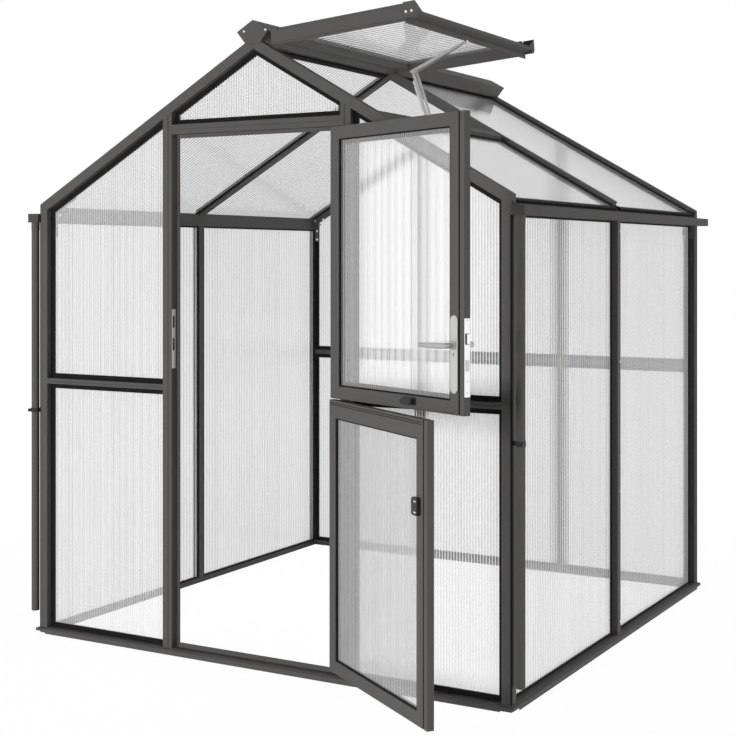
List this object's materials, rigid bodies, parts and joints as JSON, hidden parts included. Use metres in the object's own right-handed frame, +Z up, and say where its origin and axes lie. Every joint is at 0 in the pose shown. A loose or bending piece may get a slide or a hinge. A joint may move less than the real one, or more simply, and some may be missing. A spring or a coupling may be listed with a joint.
{
  "type": "polycarbonate greenhouse",
  "caption": "Walk-in garden greenhouse with a powder-coated aluminium frame, twin-wall sheet glazing, a stable door in two leaves, a propped roof vent, gutters and downpipes.",
  "frame": {"origin": "under the middle of the doorway, on the underside of the front base rail, in the plane of the front glazing", "axes": "+X to the right along the front gable, +Y from the front gable to the back, +Z up"},
  "size_m": [2.064, 2.4153, 2.2736],
  "materials": {
    "anthracite": "fine matt anthracite powder coat on extruded aluminium",
    "sheet": "translucent white twin-wall sheet with fine parallel ribs",
    "seal": "near-black glazing strip and moulded fittings",
    "steel": "satin steel and zinc fittings"
  },
  "bodies": {
    "frame": {"front_base": "anthracite", "back_base": "anthracite", "side_bases": "anthracite", "base_corners": "anthracite", "front_posts": "anthracite", "back_posts": "anthracite", "mid_posts": "anthracite", "door_jambs": "anthracite", "door_head": "anthracite", "door_stops": "anthracite", "front_rails": "anthracite", "back_mullions": "anthracite", "back_rails": "anthracite", "eave_beams": "anthracite", "front_rafters": "anthracite", "back_rafters": "anthracite", "mid_rafters": "anthracite", "ridge_beam": "anthracite", "ridge_end_plates": "anthracite", "vent_transom": "anthracite", "gussets": "anthracite", "gutters": "anthracite", "downpipes": "anthracite", "vent_sash": "anthracite", "frame_hinges": "anthracite", "front_panes": "sheet", "back_panes": "sheet", "side_panes": "sheet", "roof_panes": "sheet", "vent_pane": "sheet", "gable_seals": "seal", "side_seals": "seal", "roof_seals": "seal", "pipe_clips": "seal", "vent_opener": "steel", "strike_plate": "steel"},
    "upper_leaf": {"upper_stiles": "anthracite", "upper_rails": "anthracite", "upper_pane": "sheet", "upper_hinges": "anthracite", "upper_lock": "steel", "leaf_latch": "seal"},
    "lower_leaf": {"lower_stiles": "anthracite", "lower_rails": "anthracite", "lower_pane": "sheet", "lower_hinges": "anthracite", "lower_catch": "seal"},
    "handle": {"door_handle": "steel"}
  },
  "joints": [
    {"name": "upper_door", "type": "hinge", "parent": "frame", "child": "upper_leaf", "pos_m": [0.348, -0.036, 0.963], "axis": [0, 0, 1], "range_deg": [-156, 10]},
    {"name": "lower_door", "type": "hinge", "parent": "frame", "child": "lower_leaf", "pos_m": [0.348, -0.036, 0.051], "axis": [0, 0, 1], "range_deg": [-145.5, 20]},
    {"name": "lever", "type": "hinge", "parent": "upper_leaf", "child": "handle", "pos_m": [0.93661, -0.31941, 1.171], "axis": [-0.4067, -0.9135, 0], "range_deg": [0, 40], "stiffness_Nm_per_rad": 0.8}
  ]
}
